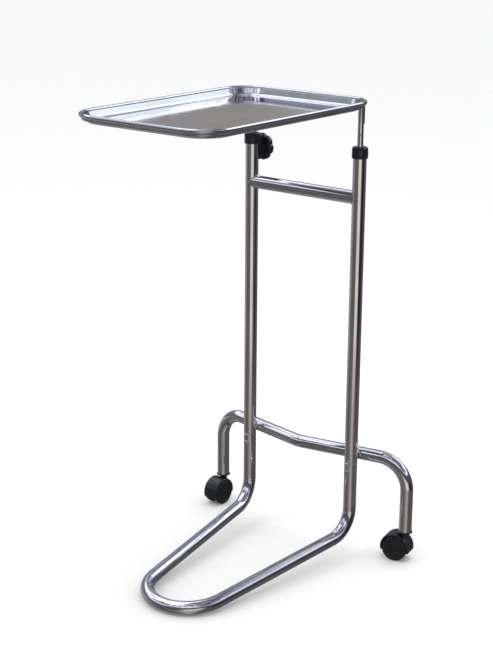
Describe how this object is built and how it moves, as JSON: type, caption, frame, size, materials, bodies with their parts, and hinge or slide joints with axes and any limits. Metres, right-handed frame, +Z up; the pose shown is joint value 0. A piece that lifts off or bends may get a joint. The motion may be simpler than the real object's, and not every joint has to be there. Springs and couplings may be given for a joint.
{
  "type": "instrument stand",
  "caption": "Height-adjustable instrument stand: lift-off steel tray on telescoping rods with a hand clamp knob, over a U-shaped tube foot with rear swivel casters.",
  "frame": {"origin": "centre of the bounding box, on the floor", "axes": "+Z up; +X to the right seen from the front; the open front of the foot and the tray's free end point to -Y"},
  "size_m": [0.4968, 0.5352, 0.9043],
  "materials": {
    "chrome_tube": "bright chrome plate on steel tube",
    "chrome_rod": "bright chrome plate on steel rod",
    "plated_weld": "chrome plated over a weld bead",
    "stainless_sheet": "satin stainless sheet, bright rolled rim",
    "plated_steel": "bright zinc plate",
    "brass": "machined",
    "black_plastic": "semi-gloss moulded",
    "knob_plastic": "semi-gloss moulded",
    "wheel_plastic": "semi-gloss moulded",
    "nylon": "natural moulded"
  },
  "bodies": {
    "stand": {"base_tube": "chrome_tube", "caster_crossbar": "chrome_tube", "caster_plug_left": "black_plastic", "caster_plug_right": "black_plastic", "caster_stem_left": "plated_steel", "caster_stem_right": "plated_steel", "clamp_collar": "black_plastic", "clamp_insert": "brass", "coupling_screw_left": "plated_steel", "coupling_screw_right": "plated_steel", "coupling_sleeve_left": "plated_steel", "coupling_sleeve_right": "plated_steel", "cross_rail": "chrome_tube", "crossbar_weld_left_lower": "plated_weld", "crossbar_weld_left_upper": "plated_weld", "crossbar_weld_right_lower": "plated_weld", "crossbar_weld_right_upper": "plated_weld", "guide_collar": "black_plastic", "post_left": "chrome_tube", "post_right": "chrome_tube"},
    "clamp_screw": {"clamp_stud": "plated_steel"},
    "clamp_knob": {"clamp_knob": "knob_plastic"},
    "carriage": {"frame_brace_left": "chrome_rod", "frame_brace_right": "chrome_rod", "inner_rod_left": "chrome_rod", "inner_rod_right": "chrome_rod", "rod_guide_left": "nylon", "rod_guide_right": "nylon", "rod_pin_left": "plated_steel", "rod_pin_right": "plated_steel", "tray_frame": "chrome_rod"},
    "tray": {"tray": "stainless_sheet"},
    "caster_left": {"caster_hood_left": "black_plastic", "caster_axle_left": "plated_steel"},
    "caster_right": {"caster_hood_right": "black_plastic", "caster_axle_right": "plated_steel"},
    "wheel_left_inner": {"caster_wheel_left_inner": "wheel_plastic"},
    "wheel_left_outer": {"caster_wheel_left_outer": "wheel_plastic"},
    "wheel_right_inner": {"caster_wheel_right_inner": "wheel_plastic"},
    "wheel_right_outer": {"caster_wheel_right_outer": "wheel_plastic"}
  },
  "joints": [
    {"name": "tray_height", "type": "slide", "parent": "stand", "child": "carriage", "axis": [0, 0, 1], "range_m": [-0.04, 0.36]},
    {"name": "tray_lift", "type": "slide", "parent": "carriage", "child": "tray", "axis": [0, 0, 1], "range_m": [0, 0.06]},
    {"name": "clamp_travel", "type": "slide", "parent": "stand", "child": "clamp_screw", "axis": [0, 1, 0], "range_m": [0, 0.0026]},
    {"name": "clamp_turn", "type": "hinge", "parent": "clamp_screw", "child": "clamp_knob", "pos_m": [-0.1249, 0.2064, 0.7835], "axis": [0, 1, 0], "range_deg": [0, 720]},
    {"name": "caster_left_swivel", "type": "hinge", "parent": "stand", "child": "caster_left", "pos_m": [-0.2299, 0.2483, 0], "axis": [0, 0, 1], "continuous": true},
    {"name": "wheel_left_inner_spin", "type": "hinge", "parent": "caster_left", "child": "wheel_left_inner", "pos_m": [-0.2299, 0.2318, 0.0255], "axis": [1, 0, 0], "continuous": true},
    {"name": "wheel_left_outer_spin", "type": "hinge", "parent": "caster_left", "child": "wheel_left_outer", "pos_m": [-0.2299, 0.2318, 0.0255], "axis": [1, 0, 0], "continuous": true},
    {"name": "caster_right_swivel", "type": "hinge", "parent": "stand", "child": "caster_right", "pos_m": [0.2321, 0.2483, 0], "axis": [0, 0, 1], "continuous": true},
    {"name": "wheel_right_inner_spin", "type": "hinge", "parent": "caster_right", "child": "wheel_right_inner", "pos_m": [0.2159, 0.24515, 0.0255], "axis": [0.1908, -0.9816, 0], "continuous": true},
    {"name": "wheel_right_outer_spin", "type": "hinge", "parent": "caster_right", "child": "wheel_right_outer", "pos_m": [0.2159, 0.24515, 0.0255], "axis": [0.1908, -0.9816, 0], "continuous": true}
  ],
  "couplings": [
    {"joint": "clamp_travel", "follows": "clamp_turn", "m_per_rad": 0.00019894}
  ]
}
